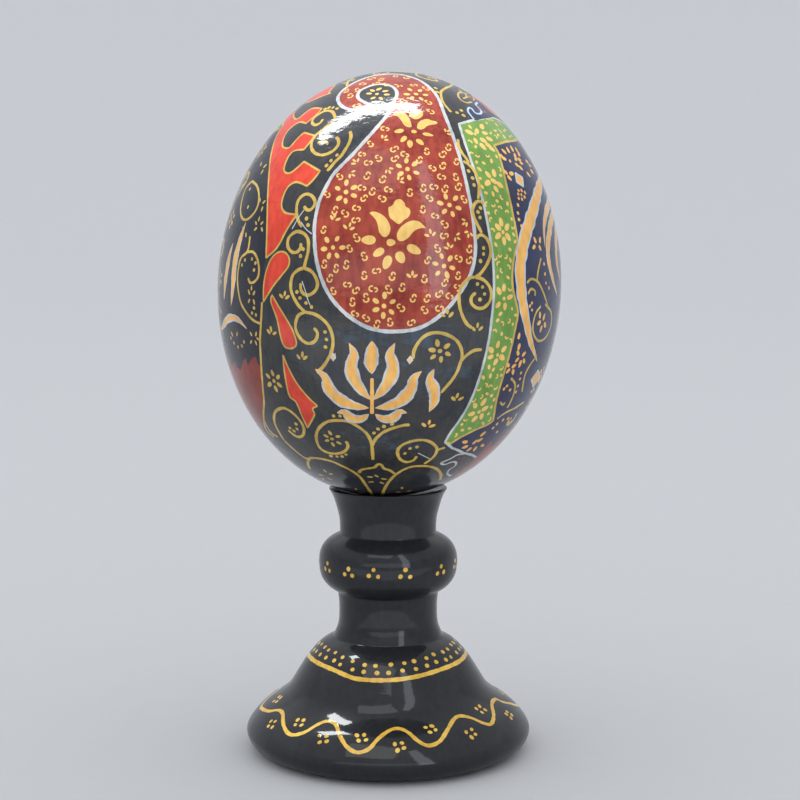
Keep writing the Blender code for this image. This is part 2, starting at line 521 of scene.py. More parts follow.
down_the_egg = np.linspace(0.004, np.pi - 0.004, 3000)
egg_breadth = EGG_HALF_WIDTH * (1.0 - EGG_UPPER_SLIMNESS * np.cos(down_the_egg))
egg_outline = np.stack((egg_breadth * np.sin(down_the_egg), EGG_HALF_LENGTH * np.cos(down_the_egg)), axis=1)
egg = RoundPiece(egg_outline, EGG_CENTRE, EGG_LEAN, repeats=2)

egg_paints = {
    "black": brushed_paint("black_ground", (0.0160, 0.0205, 0.0290), (0.0430, 0.0400, 0.0360)),
    "navy": brushed_paint("navy_ground", (0.0120, 0.0155, 0.0480), (0.0210, 0.0280, 0.0800)),
    # This navy is the navy ground darkened: painted shade on the far half of each side panel.
    "shaded navy": brushed_paint("navy_with_painted_shade", (0.0080, 0.0088, 0.0150), (0.0145, 0.0155, 0.0260)),
    "red": brushed_paint("madder_red", (0.185, 0.015, 0.010), (0.385, 0.056, 0.029)),
    # This red is the madder red darkened: painted shade on the red form low on the far side of the egg.
    "shaded red": brushed_paint("red_with_painted_shade", (0.150, 0.018, 0.012), (0.270, 0.034, 0.022)),
    "bright red": brushed_paint("bright_red", (0.49, 0.030, 0.015), (0.68, 0.058, 0.027)),
    "green": brushed_paint("leaf_green", (0.105, 0.224, 0.036), (0.175, 0.322, 0.064)),
    "gold line": brushed_paint("gold_line", (0.40, 0.256, 0.045), (0.65, 0.445, 0.105)),
    "gold": brushed_paint("yellow_gold", (0.66, 0.395, 0.098), (0.85, 0.565, 0.180)),
    "orange": brushed_paint("orange_gold", (0.67, 0.325, 0.070), (0.86, 0.475, 0.125)),
    "steel": brushed_paint("steel_blue", (0.018, 0.023, 0.032), (0.040, 0.062, 0.086)),
    "pale blue": brushed_paint("pale_blue", (0.32, 0.42, 0.55), (0.50, 0.60, 0.72)),
    "pale": brushed_paint("pale_outline", (0.34, 0.36, 0.38), (0.62, 0.62, 0.61)),
}

# The ground of the egg's front is black, and its two sides are navy. Every
# mark is laid twice, opposite each other, so the back repeats the front.


def scroll(points, width=1.15, paint="gold line", tip="round"):
    """Draw one smooth brush line through pixels of the photograph."""
    egg.line(egg.seen(smooth(points)), width, paint, tip)


def outlined(points, paint, edge, width):
    """Fill a closed smooth form through pixels of the photograph, and draw its edge."""
    form = egg.seen(smooth(points, closed=True, parts=4))
    egg.fill(form, paint)
    egg.line(np.append(form, form[:2]), width, edge)


def dots(points, size=1.5, paint="gold line"):
    """Press round dots at pixels of the photograph."""
    for place in egg.seen(points):
        egg.dab(place, size, size * 0.9, brush.uniform(0, 180), paint)


def petals(marks, paint="gold line"):
    """Press petals, each at a pixel with its length and width in mm and its angle."""
    for x, y, length, width, angle in marks:
        egg.dab(egg.seen([(x, y)])[0], length, width, angle, paint, point=0.3)


def flower(place, spread=3.3, count=6, paint="gold", start=90.0, size=1.0):
    """Press a dot and a ring of petals round it."""
    egg.dab(place, 1.7 * size, 1.6 * size, brush.uniform(0, 180), paint)
    for petal in range(count):
        angle = start + 360.0 * petal / count + brush.uniform(-6, 6)
        reach = spread * brush.uniform(0.93, 1.07) * np.exp(1j * np.radians(angle))
        egg.dab(egg.beside(place, np.array([reach]))[0], 2.4 * size, 1.6 * size, angle, paint)


def sprig(place, angle=90.0, paint="gold", size=1.0):
    """Press three petals spread like a bird's foot."""
    for side, reach in ((-52.0, 1.5), (0.0, 1.9), (52.0, 1.5)):
        lean = angle + side + brush.uniform(-8, 8)
        spot = egg.beside(place, np.array([size * reach * np.exp(1j * np.radians(lean))]))[0]
        egg.dab(spot, 1.9 * size, 0.95 * size, lean, paint)


# Each hook's middle and radius in mm, and the angles from which and to which it sweeps.
HOOKS = ((-0.45 + 0.2j, 0.82, (50.0, 285.0)), (0.62 - 0.35j, 0.60, (130.0, -120.0)))
HOOK_WIDTH = 0.58


def comma_pair(place, angle, paint="gold", size=1.0):
    """Draw two small hooks that turn round each other."""
    turn = np.exp(1j * np.radians(angle)) * size
    for centre, radius, sweep in HOOKS:
        around = np.radians(np.linspace(*sweep, 9))
        hook = centre + radius * np.exp(1j * around)
        egg.line(egg.beside(place, hook * turn * brush.uniform(0.9, 1.15)), HOOK_WIDTH * size, paint)


def scatter(outline, avoid, gap, margin, tries=2600):
    """Choose places inside an outline of pixels.

    They keep apart from each other and from the places to avoid. Random pixels
    in the outline's box are tried in turn. A pixel is inside if a line to its
    left crosses the outline an odd number of times.
    """
    ring = np.array(outline, float)
    spots = brush.uniform(ring.min(axis=0), ring.max(axis=0), (tries, 2))
    near, far = ring, np.roll(ring, -1, axis=0)
    x, y = spots[:, :1], spots[:, 1:]
    rise = np.where(far[:, 1] == near[:, 1], 1e-9, far[:, 1] - near[:, 1])
    meets = near[:, 0] + (y - near[:, 1]) * (far[:, 0] - near[:, 0]) / rise
    crossed = ((near[:, 1] > y) != (far[:, 1] > y)) & (meets < x)
    spots = spots[crossed.sum(axis=1) % 2 == 1]
    places = egg.seen(spots)
    points = egg.solid(places)[0]
    edge = egg.solid(egg.seen(smooth(outline, closed=True)))[0]
    taken, clearance = [], []
    for place, clear in avoid:
        taken.append(egg.solid(np.array([place]))[0][0])
        clearance.append(clear)
    chosen = []
    far_in = np.sqrt(((points[:, None] - edge) ** 2).sum(axis=2)).min(axis=1) > margin
    for place, point in zip(places[far_in], points[far_in]):
        if all(np.linalg.norm(point - other) > clear for other, clear in zip(taken, clearance)):
            chosen.append(place)
            taken.append(point)
            clearance.append(gap)
    return chosen


def swept(points):
    """Give a smooth path through points, each an azimuth in degrees and a height on the egg in mm."""
    return egg.at(*smooth(points).T)


# Side panel: navy, from the green band's outer edge in front to the gold line
# that closes the next front, behind. The pixels run down the two edges.
GREEN_OUTER_EDGE = (
    (494, 145.5), (498, 152), (502, 165), (506, 183), (510, 200), (513, 215), (516, 230), (517.5, 243),
    (514.5, 255), (512.5, 270), (512.5, 285), (515, 298), (518, 312), (516, 325), (513, 340), (508, 360),
    (502, 380), (496.5, 400), (493, 421),
)  # fmt: skip
GREEN_FOOT_EDGE = ((487, 425), (475, 430), (461, 437), (450, 444))
PANEL_FOOT = ((452, 448), (463, 453), (476, 457.5))
PANEL_FAR_EDGE = (
    (283, 125), (276, 137), (272, 150), (270, 162), (268, 190), (267, 225), (266.5, 245), (265, 262),
    (263, 285), (262, 302), (261, 322), (260, 340), (260.5, 352), (261.5, 370), (263, 390), (264, 402),
    (264, 415), (266, 428),
)  # fmt: skip
near_edge = egg.seen(GREEN_OUTER_EDGE + GREEN_FOOT_EDGE + PANEL_FOOT)
far_edge = -egg.seen(PANEL_FAR_EDGE)
PANEL_FOOT_END = ([82.0, 88.0], [-61.0, -56.0])
egg.fill(np.concatenate((near_edge, egg.at(*PANEL_FOOT_END), far_edge[::-1])), "navy")
STEM = (
    (98.0, 53.0), (100.0, 42.0), (101.0, 31.0), (99.0, 20.0), (96.0, 9.0), (95.5, -2.0), (97.0, -13.0),
    (97.5, -24.0), (95.0, -36.0), (93.0, -46.0),
)  # fmt: skip
STEM_WIDTH = 1.1
stem = swept(STEM)
# Past the stem, the panel is laid again in a darker navy: painted shade, as that side of the egg is lit
# less.
egg.fill(np.concatenate((stem, far_edge[::-1])), "shaded navy")
egg.line(stem, STEM_WIDTH, "gold line")

# A red form, brushed upward in short strokes, sweeps along the panel's
# foot. Its red is the madder red darkened as painted shade, where the form turns
# away from the light. It is given here as the next front has it, at the photograph's left.
RED_FOOT_SEEN = (
    (262, 429), (265, 426), (264, 415), (264, 402), (263, 392), (261, 366), (258, 364), (256, 357),
    (252, 358), (248, 366), (246, 358), (243, 361), (241, 370), (237, 368), (235, 361), (232, 366),
)  # fmt: skip
RED_FOOT_CREST = (
    (-73.0, -31.5), (-80.0, -31.5), (-88.0, -35.0), (-96.0, -40.5), (-104.0, -45.5), (-112.0, -50.5),
    (-120.0, -55.5), (-126.0, -58.5),
)  # fmt: skip
RED_FOOT_END = ((476, 459.5), (467, 466), (459, 472), (452, 478), (447, 484))
RED_FOOT_BASE = ((-100.0, -67.0), (-88.0, -63.0), (-78.0, -59.0), (-72.0, -55.0))
RED_STROKES = (-75.0, -122.0, -2.6)
crest, base = swept(RED_FOOT_CREST), swept(RED_FOOT_BASE)
egg.fill(np.concatenate((egg.seen(RED_FOOT_SEEN), crest, -egg.seen(RED_FOOT_END), base)), "shaded red")
for azimuth in np.arange(*RED_STROKES):
    height = -np.interp(-azimuth, *np.abs(RED_FOOT_CREST).T)
    lean, rise = brush.uniform(-2.0, 3.5), brush.uniform(1.5, 6.0)
    stroke = egg.at(azimuth + np.array((0.0, 0.3, 1.0)) * lean, height + np.array((-5.0, -1.0, rise)))
    egg.line(stroke, brush.uniform(2.2, 3.8), "shaded red", "leaf")

# Three red drops fall from the border's lower end.
DROPS = (
    ((263.5, 302), (263.5, 302), (263.5, 288), (265.5, 274), (270, 261), (276, 253.5), (282, 251.5),
     (287, 254), (289.5, 260), (288, 267), (282, 275), (274, 285), (267, 296)),
    ((272, 295), (272, 295), (279, 307), (287, 320), (293, 331), (296.5, 343), (294, 347.5),
     (288.5, 348.5), (283.5, 345), (280, 334), (277, 319), (271, 302)),
    ((283, 355), (283, 355), (288, 367), (296, 382), (307, 396), (317.5, 406), (317.5, 406),
     (312.5, 409), (314.5, 415), (307.5, 428), (307.5, 428), (302, 416), (296, 402), (290, 397),
     (287, 387), (284, 369)),
)  # fmt: skip
DROP_EDGE = 0.6
for drop in DROPS:
    outlined(drop, "bright red", "gold line", DROP_EDGE)

# Steel-blue paint, worn to thin strokes, lies on the black under the great leaf.
# Each row has a middle as a pixel, and how many dabs lie round it.
STEEL_SPREAD = (15.0, 5.0)
STEEL_STROKES = (
    (385, 338, 18), (432, 340, 22), (345, 335, 10), (385, 367, 8), (452, 372, 12), (350, 435, 10),
    (400, 445, 12),
)  # fmt: skip
for x, y, count in STEEL_STROKES:
    for place in egg.seen(brush.normal((x, y), STEEL_SPREAD, (count, 2))):
        length, width, angle = brush.uniform(2.0, 6.5), brush.uniform(0.8, 1.9), brush.uniform(-25, 25)
        egg.dab(place, length, width, angle, "steel")

# Boteh: the great leaf of the front, madder red with a thick pale edge. Its
# head curls to the left round a small black eye.
BOTEH = (
    (395, 331.5), (412, 330), (425, 325.5), (437, 318), (448, 308), (457, 297), (465, 285), (471, 273),
    (474.5, 260), (475.5, 245), (474, 227), (471, 206), (467, 186), (462, 165), (456, 145), (450, 128),
    (444, 113), (440, 102), (435, 93), (428, 86), (419, 80), (408, 76), (396, 74), (384, 74.5),
    (372, 76), (360, 80), (350, 85), (342, 91), (338, 97), (339, 103), (344, 107.5), (352, 109.5),
    (364, 108), (378, 107), (388, 110), (388, 114), (384, 119), (378, 126), (371, 134), (362, 144),
    (352, 155), (342, 165), (333, 175), (326, 187), (320, 199), (316.5, 212), (314.5, 226), (314.5, 240),
    (315.5, 254), (318, 267), (322, 280), (328, 293), (336, 304), (346, 314), (357, 322), (369, 328),
    (382, 331),
)  # fmt: skip
BOTEH_EYE = (
    (397, 93), (393, 87), (385, 84.5), (376, 84.5), (366, 87.5), (359, 92), (358, 97.5), (364, 102),
    (374, 105.5), (386, 105), (394, 101),
)  # fmt: skip
outlined(BOTEH, "red", "pale", 1.3)
outlined(BOTEH_EYE, "black", "pale", 1.2)

# Green band: it bounds the front on the right, and turns at the top along
# the panel's upper edge. Its inner edge is pale and its outer one gold. The far
# ends of its two top edges are given as azimuths and heights.
GREEN_INNER_EDGE = (
    (445, 442), (451, 432), (459, 421), (467, 408), (474, 393), (480, 376), (485, 358), (489, 339),
    (491.5, 320), (493.5, 300), (494, 284), (493.5, 268), (492, 250), (489, 232), (486, 215), (482, 198),
    (478, 182), (473, 166), (468, 152), (463, 137), (459, 124),
)  # fmt: skip
GREEN_TOP_EDGE = ((459, 124), (468, 121.5), (480, 119), (493, 117.5))
PANEL_TOP_EDGE = ((519, 141), (513, 141), (503, 142.5), (494, 145.5))
GREEN_TOP_FAR = ([74.0, 84.0, 94.0, 104.0], [61.4, 60.0, 58.2, 56.0])
PANEL_TOP_FAR = ([106.5, 101.0, 93.0], [54.0, 53.2, 53.8])
inner_edge = egg.seen(smooth(GREEN_INNER_EDGE, parts=4))
top_edge = np.append(egg.seen(GREEN_TOP_EDGE), egg.at(*GREEN_TOP_FAR))
panel_top = np.append(egg.at(*PANEL_TOP_FAR), egg.seen(PANEL_TOP_EDGE))
outer_edge = egg.seen(smooth(GREEN_OUTER_EDGE, parts=4))
foot_edge = egg.seen(GREEN_FOOT_EDGE)
egg.fill(np.concatenate((inner_edge, top_edge[1:], panel_top, outer_edge[1:], foot_edge)), "green")
egg.line(np.concatenate((panel_top[:-1], outer_edge, foot_edge)), 0.95, "gold line")
egg.line(np.concatenate((egg.seen(PANEL_FOOT)[::-1], inner_edge, top_edge[1:])), 1.0, "pale")

# Dagged border: a red band on the left of the front with long scallops cut
# out of it, so that it ends in flame-like tongues, edged in gold. Its tip, as
# (azimuth, height), runs on over the egg's side.
DAGGED_TONGUES = (
    (331, 93), (331, 93), (320, 97), (311, 101), (303, 104), (297, 109), (293.5, 115), (295.5, 119),
    (300, 117), (308, 110.5), (314, 108), (322, 108.5), (322, 108.5), (316, 115), (306, 123.5),
    (306, 123.5), (300, 122), (293, 126), (287, 132), (283, 140), (282.5, 146), (285.5, 148), (290, 147),
    (297, 139), (304, 132.5), (304, 132.5), (314.5, 135.5), (314.5, 135.5), (310, 142), (304, 149.5),
    (304, 149.5), (295, 150.5), (289.5, 155), (285.5, 163), (284, 170), (286.5, 173), (291, 172.5),
    (298, 167), (304, 161.5), (304, 161.5), (320, 171), (320, 171), (314, 179), (307, 186), (307, 186),
    (297, 182), (290, 185), (286, 190), (283, 197), (281.5, 205), (283.5, 211), (288, 213.5),
    (297, 214.5), (297, 214.5), (291, 223), (285, 233), (280, 243), (275, 250), (266, 258), (266, 258),
)  # fmt: skip
DAGGED_BACK = ((266.5, 245), (267, 225), (268, 190), (270, 162), (272, 150), (276, 137), (283, 125))
tongues = egg.seen(smooth(DAGGED_TONGUES, parts=4))
DAGGED_TIP = ((-73.5, 55.3), (-80.0, 57.4), (-90.0, 60.2), (-100.0, 62.8), (-110.0, 65.2), (-120.0, 68.0),
              (-120.0, 68.0), (-112.0, 69.3), (-100.0, 70.5), (-90.0, 69.6), (-80.0, 70.4), (-70.0, 70.6),
              (-57.0, 67.3))  # fmt: skip
back_edge = np.append(egg.seen(smooth(DAGGED_BACK, parts=4)), swept(DAGGED_TIP))
egg.fill(np.concatenate((tongues, back_edge)), "bright red")
egg.line(np.concatenate((tongues, back_edge, tongues[:1])), 0.72, "gold line")


def cluster(centre, points, length=2.2, width=1.5, paint="gold line"):
    """Press petals at pixels, each pointing away from a centre pixel."""
    for x, y in points:
        angle = math.degrees(math.atan2(centre[1] - y, x - centre[0]))
        egg.dab(egg.seen([(x, y)])[0], length, width, angle, paint, point=0.3)


def blot(points, paint):
    """Fill a closed smooth form through pixels of the photograph."""
    egg.fill(egg.seen(smooth(points, closed=True, parts=3)), paint)


def edged_leaf(path, width, edge=0.8, edge_paint="pale"):
    """Draw a leaf along a path with a pointed brush, over the same leaf laid wider for its edge."""
    egg.line(path, width + 2 * edge, edge_paint, "leaf")
    egg.line(path, width, "orange", "leaf")


def curl(place, angle, size, side=1, lead=1.2, width=1.0, paint="gold line"):
    """Draw a scroll that leaves a place at an angle, winds in to one side, and holds a row of dots.

    Its radius falls evenly from full size to a quarter over 300 degrees.
    """
    ahead = np.exp(1j * np.radians(angle))
    hub = ahead * (lead + 1j * side * size)
    part = np.linspace(0.0, 1.0, 24)
    arm = -1j * side * size * ahead * np.exp(1j * side * 5.3 * part)
    egg.line(egg.beside(place, np.append(0.0, hub + arm * (1.0 - 0.74 * part))), width, paint)
    for along in (4, 8, 12):
        spot = hub + arm[along] * (0.60 - 0.50 * part[along])
        egg.dab(egg.beside(place, np.array([spot]))[0], 1.3, 1.2, 0.0, paint)


def lozenge(x, y, length=3.2, width=2.3):
    """Press a small diamond with a pale edge at a pixel of the photograph."""
    place = egg.seen([(x, y)])[0]
    for grow, paint in ((1.0, "pale"), (0.55, "orange")):
        corners = np.array((length, 1j * width, -length, -1j * width)) * grow / 2
        egg.fill(egg.beside(place, corners * 1j), paint)


# The leaf is filled with a lotus, a smaller lotus above it, seven flowers and
# four sprigs. Small pairs of hooks are scattered over the red between them.
LOTUS = (
    ((394, 202), (397, 199.5), (401, 199.5), (404.5, 203), (405.5, 206.5), (409, 208.5), (410.5, 212),
     (408.5, 217), (404, 220), (401, 223), (398, 224), (394, 221), (390, 217.5), (388.5, 212),
     (388.5, 207.5), (391.5, 206), (393.5, 204)),
    ((369.5, 213), (369.5, 213), (373, 211.5), (379, 213), (385, 217), (389, 223), (390.5, 229),
     (389, 234), (385.5, 237), (382, 236), (379, 231.5), (378, 226), (376.5, 221), (373.5, 217)),
    ((426, 228), (426, 228), (420, 222), (413, 220.5), (406, 223), (400, 228), (397, 234), (398, 240),
     (403, 241), (409, 237), (413, 232), (419, 228.5)),
)  # fmt: skip
LOTUS_PETALS = (
    (368.5, 240, 4.7, 3.5, 180), (378.5, 252.5, 4.4, 3.2, 220), (387, 262.5, 4.7, 3.4, 255),
    (400.5, 257.5, 4.0, 3.5, 300), (414, 249.5, 5.1, 3.4, 340), (391, 242.5, 2.9, 2.7, 0),
)  # fmt: skip
UPPER_LOTUS = (
    ((417, 128), (417, 128), (420, 129.5), (424, 128.5), (428, 125.5), (436, 124), (437, 122),
     (432, 120.5), (427, 119), (421, 120.5), (417.5, 124)),
    ((391, 115), (391, 115), (397, 116), (401, 120), (404, 125), (408, 127), (411.5, 126.5), (410, 120),
     (407, 115), (402, 112)),
    ((409, 115), (412, 111), (417, 109.5), (422, 111), (423, 115), (419, 118.5), (414, 119)),
)  # fmt: skip
UPPER_LOTUS_PETALS = (
    (399, 131, 3.4, 2.1, 200), (403.5, 139, 3.3, 2.1, 235), (410, 144, 3.2, 2.3, 265),
    (420, 142, 3.4, 2.3, 320), (428, 134.5, 3.9, 1.8, 350), (414, 131.5, 2.2, 2.0, 0),
)  # fmt: skip
for part in LOTUS + UPPER_LOTUS:
    blot(part, "gold")
petals(LOTUS_PETALS + UPPER_LOTUS_PETALS, "gold")

BOTEH_FLOWERS = ((346, 192), (407.5, 169), (449.5, 205), (333, 247.5), (444, 266), (384, 306), (416, 94))
BOTEH_SPRIGS = ((334, 221), (348, 230), (412, 279), (431, 237))
kept_clear = [(place, 5.6) for place in egg.seen(BOTEH_FLOWERS)]
for place in egg.seen(BOTEH_FLOWERS):
    flower(place, spread=3.2, start=brush.uniform(60, 120))
for place in egg.seen(BOTEH_SPRIGS):
    sprig(place, angle=brush.uniform(70, 110))
    kept_clear.append((place, 3.6))
LOTUS_ROOM = (
    ((379, 222), 6.5),
    ((399, 211), 7.0),
    ((411, 229), 7.0),
    ((372, 242), 5.0),
    ((386, 254), 6.0),
    ((403, 252), 6.0),
    ((416, 248), 5.0),
    ((398, 118), 5.5),
    ((414, 122), 5.5),
    ((431, 123), 5.0),
    ((404, 135), 5.5),
    ((414, 141), 5.5),
    ((427, 135), 5.0),
    ((377, 95), 7.5),
    ((368, 95), 6.0),
    ((388, 94), 6.5),
)  # fmt: skip
kept_clear += [(egg.seen([pixel])[0], room) for pixel, room in LOTUS_ROOM]
for place in scatter(BOTEH, kept_clear, gap=3.6, margin=1.8):
    kind = brush.uniform()
    if kind < 0.1:
        sprig(place, angle=brush.uniform(0, 360), size=0.85)
    else:
        comma_pair(place, brush.choice((20.0, 75.0, 110.0, 160.0)) + brush.uniform(-20, 20))

EYE_FLOWER = (
    (377, 94),
    ((369, 93.5), (372.5, 90.5), (379, 89), (385.5, 91), (387, 94.5), (381, 98.5), (373, 98)),
)  # fmt: skip
cluster(*EYE_FLOWER, 2.3, 1.6, "gold")
dots(EYE_FLOWER[:1], 1.7, "gold")

# Gold scrolls climb the black ground between the leaf and the dagged border.
LEFT_SCROLLS = (
    ((323, 119), (320, 123), (315, 125), (312, 122), (314, 118), (319, 114), (325, 111), (331, 111),
     (334, 114), (335, 119), (332, 123), (327, 126), (322, 130), (316, 135), (312, 141), (311.5, 148),
     (315, 153), (321, 155), (328, 153.5), (334, 150), (338, 145), (338.5, 140), (336, 137)),
    ((350, 131), (351, 136), (349, 143), (345, 150), (341, 156), (335, 162), (330, 168), (327, 171)),
    ((304, 206), (306, 209), (310, 210), (314, 206), (315, 201), (312, 196), (307, 194), (302, 196),
     (298, 201), (296.5, 208), (297, 216), (299, 222), (302, 227)),
    ((301, 243), (300.5, 248), (297, 252), (292, 252), (288, 247), (288, 240), (291, 235), (297, 231.5),
     (303, 233), (307, 237), (308.5, 243), (308, 252), (306, 260), (304, 268)),
    ((304, 268), (298, 270), (293, 275), (291, 282), (291, 290), (294, 298), (299, 306), (305, 312)),
    ((304, 268), (311, 271), (316, 278), (317.5, 285), (315, 291), (309, 295), (304, 294), (301, 290),
     (300.5, 283)),
    ((305, 312), (299, 315), (296, 321), (295.5, 328), (298, 335), (303, 341), (309, 343.5), (315, 341),
     (317.5, 335), (316.5, 331), (313.5, 328)),
    ((305, 312), (314, 314), (321, 318), (328, 325), (332, 334), (333, 343), (331, 353), (327, 361),
     (322, 368), (318, 371)),
    ((288, 430), (294, 435), (299, 437), (303, 435), (304, 429), (301, 422), (296, 416), (290, 411),
     (283, 408), (276, 411), (274, 417), (275, 424), (279, 432), (284, 440), (290, 446), (298, 453),
     (305, 458), (309, 459)),
    ((264, 420), (268, 428), (273, 434), (278, 437)),
)  # fmt: skip
LEFT_DOTS = (
    (325, 109), (329, 107.5), (333, 107.5), (337, 108.5), (337, 155), (331, 160.5), (326.5, 165.5),
    (306.5, 218.5), (308, 225), (303, 249), (300.5, 256), (297, 292), (300, 298), (306, 303),
    (311.5, 307), (325, 332), (326.5, 339.5), (325.5, 347), (290, 428), (294, 431), (297, 429),
    (296, 424),
)  # fmt: skip
UPPER_LEFT_FLOWER = ((324, 140), ((321, 136), (320, 142), (327, 143), (327, 137.5)))
LEFT_SPRIGS = ((302, 360.5), (284, 300), (271.5, 335.5))
LOWER_LEFT_FLOWER = (
    (274, 381),
    ((268, 376), (272.5, 373), (278, 377), (279.5, 385), (276, 389), (269.5, 384.5)),
)  # fmt: skip
for path in LEFT_SCROLLS:
    scroll(path)
dots(LEFT_DOTS)
cluster(*UPPER_LEFT_FLOWER, 2.0, 1.4)
dots(UPPER_LEFT_FLOWER[:1], 1.3)
for place in egg.seen(LEFT_SPRIGS):
    sprig(place, paint="gold line", size=1.15)
cluster(*LOWER_LEFT_FLOWER, 2.6, 1.8)
dots(LOWER_LEFT_FLOWER[:1], 1.6)
GOLD_UPRIGHT = (
    (262, 302), (261, 322), (260, 340), (260.5, 352), (261.5, 370), (263, 390), (264, 402), (263.5, 415),
    (265, 427), (269, 433), (274, 437),
)  # fmt: skip
scroll(GOLD_UPRIGHT, 1.0)

# Under the front, scrolls spring from a low arch that the cup half hides.
LOW_SCROLLS = (
    ((310, 469), (308, 464), (309, 459), (313, 458), (322, 459), (332, 461.5), (342, 466), (352, 471),
     (360, 477), (365, 484), (370, 491), (373, 496)),
    ((359, 473), (361, 470), (368, 468.5), (374, 467.5), (377, 465), (379, 464), (382, 465.5),
     (384, 468.5), (390, 470.5), (395, 474)),
    ((382, 496), (384, 490), (388, 483), (393, 477), (398, 473), (405, 469), (413, 466.5), (423, 466),
     (432, 467), (438, 470), (441, 475), (440, 480)),
    ((373, 460), (372.5, 452), (371.5, 444), (369, 437), (364, 431), (357, 426), (348, 421.5),
     (338, 420.5), (328, 421.5), (320, 427), (316.5, 434), (317, 442), (321, 449), (329, 453),
     (338, 453.5), (345, 451), (348, 446), (346, 441)),
    ((372, 446), (375, 440), (381, 434), (388, 430), (397, 427), (405, 425), (410, 425)),
    ((417, 456), (413, 460.5), (406, 462), (400, 459), (397.5, 453), (399, 448), (404, 444),
     (411, 441.5), (420, 440), (428, 441), (434, 444.5), (437, 449), (435, 455), (430, 460), (424, 464)),
    ((437, 450), (442, 448.5), (445, 447.5)),
)  # fmt: skip
LOW_DOTS = (
    (374, 433), (378, 429), (384, 426.5), (392, 424), (331, 456), (337, 456.5), (342, 456.5),
    (346, 454.5), (333.5, 416), (340, 416), (405, 453.5), (410, 448.5), (417, 447),
)  # fmt: skip
LOW_LEFT_FLOWER = (
    (332, 439),
    ((326, 436), (330, 433), (338, 436.5), (339, 443), (333, 444.5), (327, 440.5)),
)  # fmt: skip
ARCH_FLOWERS = (
    ((378, 478), ((370, 477), (376.5, 476), (384, 479), (382, 483), (371, 482))),
    ((326, 475), ((321, 475), (325, 471), (331, 474), (330, 479), (323, 479))),
    ((404, 492), ((398, 492), (402, 488), (409, 491), (408, 495))),
    ((355, 493), ((350, 492), (356, 489), (360, 493))),
)
for path in LOW_SCROLLS:
    scroll(path)
dots(LOW_DOTS)
cluster(*LOW_LEFT_FLOWER, 2.2, 1.5)
cluster(*ARCH_FLOWERS[0], 2.2, 1.2)
dots(LOW_LEFT_FLOWER[:1], 1.5)
for centre, around in ARCH_FLOWERS[1:]:
    cluster(centre, around, 2.2, 1.2)

# Gold scrolls run down the right, and an arch with a flower ends them.
RIGHT_SCROLLS = (
    ((458, 139), (458.5, 146), (462, 153), (466, 158), (469, 163)),
    ((463, 161), (468, 164), (473, 169), (477, 176), (479, 184), (479, 192), (478, 199)),
    ((484, 204), (481, 201.5), (477, 201.5), (474, 205), (472.5, 210), (474, 217), (477, 224),
     (482, 233)),
    ((477, 239), (478, 236), (482, 235), (487, 239), (490, 246), (490.5, 254), (488, 262), (484, 269),
     (479, 275), (475, 277)),
    ((475, 277), (470, 278), (464, 283), (460, 290), (459, 299), (460, 308), (463, 317), (467, 324),
     (472, 328)),
    ((475, 277), (482, 279), (487, 283), (491, 290), (491, 298), (488, 304), (483, 308), (477, 308),
     (472, 304), (471, 299), (473, 295), (476, 293)),
    ((413, 359), (414, 351), (418, 343), (424, 336.5), (432, 333), (441, 333), (450, 336), (457, 341),
     (461, 348), (462, 356), (460, 364), (457, 372), (452, 380), (446, 387), (441, 393)),
    ((461, 361), (467, 355), (474, 350.5), (482, 349.5)),
)  # fmt: skip
RIGHT_DOTS = (
    (468.5, 171), (472.5, 178), (474, 185), (480.5, 208), (478, 212), (480, 217.5), (483.5, 248),
    (483.5, 254), (480.5, 261), (477.5, 284), (482.5, 287), (484.5, 294), (480, 299.5),
)  # fmt: skip
RIGHT_FLOWER = ((440, 351), ((437.5, 343), (447, 346), (448, 354), (441, 359.5), (433, 357), (432, 350)))
RIGHT_SPRIGS = ((447, 318), (477, 332), (456.5, 401.5))
for path in RIGHT_SCROLLS:
    scroll(path)
dots(RIGHT_DOTS)
cluster(*RIGHT_FLOWER, 2.5, 1.8)
dots(RIGHT_FLOWER[:1], 1.6)
for place in egg.seen(RIGHT_SPRIGS):
    sprig(place, paint="gold line", size=1.2)

# A palmette of pointed leaves, orange with pale edges, stands alone on the
# black under the great leaf.
PALMETTE = (
    (((372, 374), (371, 364), (372, 352), (372, 341)), 3.6),
    (((371, 400), (362, 391), (354, 379), (351, 366), (354, 354), (349, 343)), 3.3),
    (((373, 400), (382, 391), (390, 379), (393, 366), (390, 354), (395, 343)), 3.3),
    (((369, 408), (355, 406), (340, 400), (329, 389), (325, 377), (315, 369)), 3.5),
    (((375, 408), (389, 406), (402, 400), (411, 389), (414, 378), (422, 371)), 3.3),
    (((369, 414), (361, 419), (351, 418), (344, 412), (337, 413)), 2.3),
    (((375, 414), (383, 419), (393, 418), (400, 412), (407, 413)), 2.3),
    (((429, 412), (434, 402), (434, 390), (430, 379), (434, 369)), 2.8),
)  # fmt: skip
PALMETTE_STEM = ((372, 414), (372, 395), (372, 378))
PALMETTE_LOZENGES = ((333, 357), (410, 360))
PALMETTE_SPRIG = (427, 428)
scroll(PALMETTE_STEM, 1.3, "orange")
for path, width in PALMETTE:
    edged_leaf(egg.seen(smooth(path)), width)
for x, y in PALMETTE_LOZENGES:
    lozenge(x, y)
sprig(egg.seen([PALMETTE_SPRIG])[0], paint="orange", size=1.25)

